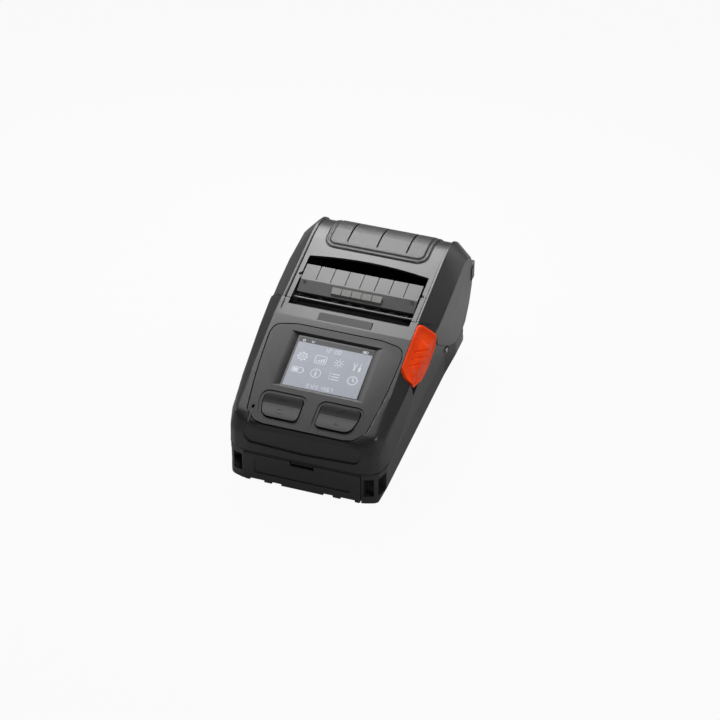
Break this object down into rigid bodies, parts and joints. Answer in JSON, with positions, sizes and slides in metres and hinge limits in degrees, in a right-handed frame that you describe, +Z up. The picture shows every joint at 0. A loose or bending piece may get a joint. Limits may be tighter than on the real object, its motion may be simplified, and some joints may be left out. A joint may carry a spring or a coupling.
{
  "type": "portable_label_printer",
  "caption": "Handheld thermal label printer with a sloping display and keys, a hinged rear cover over the label bay, a peeler flap and an orange release lever",
  "frame": {"origin": "middle of the footprint, on the surface the printer stands on", "axes": "+X to the right seen from the front, +Y to the rear where the label bay is, +Z up"},
  "size_m": [0.0894, 0.1519, 0.071],
  "materials": {
    "charcoal_shell": "moulded with a fine texture",
    "panel_plastic": "moulded, a little smoother than the shells",
    "key_rubber": "moulded silicone",
    "grip_rubber": "leather grain",
    "flap_plastic": "grey, fine texture",
    "black_plastic": "moulded",
    "lever_orange": "satin moulded",
    "display_glass": "clear window",
    "display_glow": "lit liquid crystal panel",
    "light_guide": "clear, moulded",
    "circuit_board": "solder resist",
    "steel": "plain turned or pressed steel",
    "head_alloy": "extruded",
    "head_glaze": "glazed ceramic",
    "platen_rubber": "ground rubber",
    "gear_nylon": "natural nylon",
    "contact_brass": "plated"
  },
  "bodies": {
    "base": {"base_housing": "charcoal_shell", "front_housing": "charcoal_shell", "control_panel": "panel_plastic", "display_window": "display_glass", "display_module": "display_glow", "nameplate": "black_plastic", "light_pipe": "light_guide", "key_mat": "key_rubber", "main_board": "circuit_board", "interface_sockets": "steel", "inner_frame": "black_plastic", "tear_bar": "black_plastic", "head_ceramic": "head_glaze", "head_heat_sink": "head_alloy", "head_bracket": "steel", "head_springs": "steel", "idler_post": "steel", "stepper_motor": "steel", "label_sensor": "black_plastic", "latch_spring": "steel", "strap_pins": "steel", "hinge_pin": "steel", "battery_contacts": "contact_brass", "board_screws": "steel", "housing_screws": "steel", "belt_clip": "black_plastic", "belt_clip_screws": "steel"},
    "cover": {"rear_cover": "charcoal_shell", "grip_pad": "grip_rubber", "rear_lugs": "grip_rubber", "peel_bar": "steel", "platen_bushes": "gear_nylon"},
    "platen": {"platen_sleeve": "platen_rubber", "platen_shaft": "steel", "platen_gear": "gear_nylon"},
    "idler": {"idler_gear": "gear_nylon"},
    "pinion": {"motor_pinion": "contact_brass"},
    "flap": {"peeler_flap": "flap_plastic", "flap_tab": "flap_plastic"},
    "roller": {"peel_roller": "black_plastic"},
    "lever": {"release_lever": "lever_orange", "latch_shaft": "steel"},
    "key_left_up": {"key_left_upper": "key_rubber"},
    "key_left_down": {"key_left_lower": "key_rubber"},
    "key_right_up": {"key_right_upper": "key_rubber"},
    "key_right_down": {"key_right_lower": "key_rubber"},
    "port_door": {"port_cover": "black_plastic"},
    "media_guide_left": {"guide_left": "black_plastic"},
    "media_guide_right": {"guide_right": "black_plastic"},
    "media_pinion": {"guide_pinion": "gear_nylon"},
    "battery": {"battery_pack": "charcoal_shell"},
    "battery_release": {"battery_latch": "black_plastic"}
  },
  "joints": [
    {"name": "cover_hinge", "type": "hinge", "parent": "base", "child": "cover", "pos_m": [0, 0.061, 0.017], "axis": [-1, 0, 0], "range_deg": [0, 90]},
    {"name": "platen_spin", "type": "hinge", "parent": "cover", "child": "platen", "pos_m": [0, 0.009, 0.04945], "axis": [1, 0, 0], "continuous": true},
    {"name": "idler_spin", "type": "hinge", "parent": "base", "child": "idler", "pos_m": [0, 0.00288, 0.03632], "axis": [1, 0, 0], "continuous": true},
    {"name": "pinion_spin", "type": "hinge", "parent": "base", "child": "pinion", "pos_m": [0, -0.00758, 0.03028], "axis": [1, 0, 0], "continuous": true},
    {"name": "flap_hinge", "type": "hinge", "parent": "cover", "child": "flap", "pos_m": [0, 0.0158, 0.06087], "axis": [-1, 0, 0], "range_deg": [0, 30]},
    {"name": "peel_roller_spin", "type": "hinge", "parent": "flap", "child": "roller", "pos_m": [0, 0.00844, 0.05673], "axis": [1, 0, 0], "continuous": true},
    {"name": "lever_pivot", "type": "hinge", "parent": "base", "child": "lever", "pos_m": [0, -0.0095, 0.04945], "axis": [1, 0, 0], "range_deg": [0, 5], "stiffness_Nm_per_rad": 0.2, "springref_deg": -11.46},
    {"name": "key_left_up_press", "type": "slide", "parent": "base", "child": "key_left_up", "axis": [0, 0.3256, -0.9455], "range_m": [0, 0.0005], "stiffness_N_per_m": 400, "springref_m": -0.0005},
    {"name": "key_left_down_press", "type": "slide", "parent": "base", "child": "key_left_down", "axis": [0, 0.3256, -0.9455], "range_m": [0, 0.0005], "stiffness_N_per_m": 400, "springref_m": -0.0005},
    {"name": "key_right_up_press", "type": "slide", "parent": "base", "child": "key_right_up", "axis": [0, 0.3256, -0.9455], "range_m": [0, 0.0005], "stiffness_N_per_m": 400, "springref_m": -0.0005},
    {"name": "key_right_down_press", "type": "slide", "parent": "base", "child": "key_right_down", "axis": [0, 0.3256, -0.9455], "range_m": [0, 0.0005], "stiffness_N_per_m": 400, "springref_m": -0.0005},
    {"name": "port_door_hinge", "type": "hinge", "parent": "base", "child": "port_door", "pos_m": [-0.042, -0.028, 0.0274], "axis": [0, 0, -1], "range_deg": [0, 100]},
    {"name": "guide_right_slide", "type": "slide", "parent": "base", "child": "media_guide_right", "axis": [1, 0, 0], "range_m": [0, 0.004]},
    {"name": "guide_left_slide", "type": "slide", "parent": "base", "child": "media_guide_left", "axis": [-1, 0, 0], "range_m": [0, 0.004]},
    {"name": "guide_pinion_spin", "type": "hinge", "parent": "base", "child": "media_pinion", "pos_m": [0, 0.042, 0.0103], "axis": [0, 0, -1], "range_deg": [0, 48]},
    {"name": "battery_slide", "type": "slide", "parent": "base", "child": "battery", "axis": [0, -1, 0], "range_m": [0, 0.065]},
    {"name": "battery_latch_slide", "type": "slide", "parent": "battery", "child": "battery_release", "axis": [0, 0, -1], "range_m": [0, 0.0012], "stiffness_N_per_m": 300, "springref_m": -0.001}
  ],
  "couplings": [
    {"joint": "idler_spin", "follows": "platen_spin", "ratio": -0.71429},
    {"joint": "pinion_spin", "follows": "platen_spin", "ratio": 1.6667},
    {"joint": "guide_left_slide", "follows": "guide_right_slide", "ratio": 1},
    {"joint": "guide_pinion_spin", "follows": "guide_right_slide", "rad_per_m": 208.33}
  ]
}
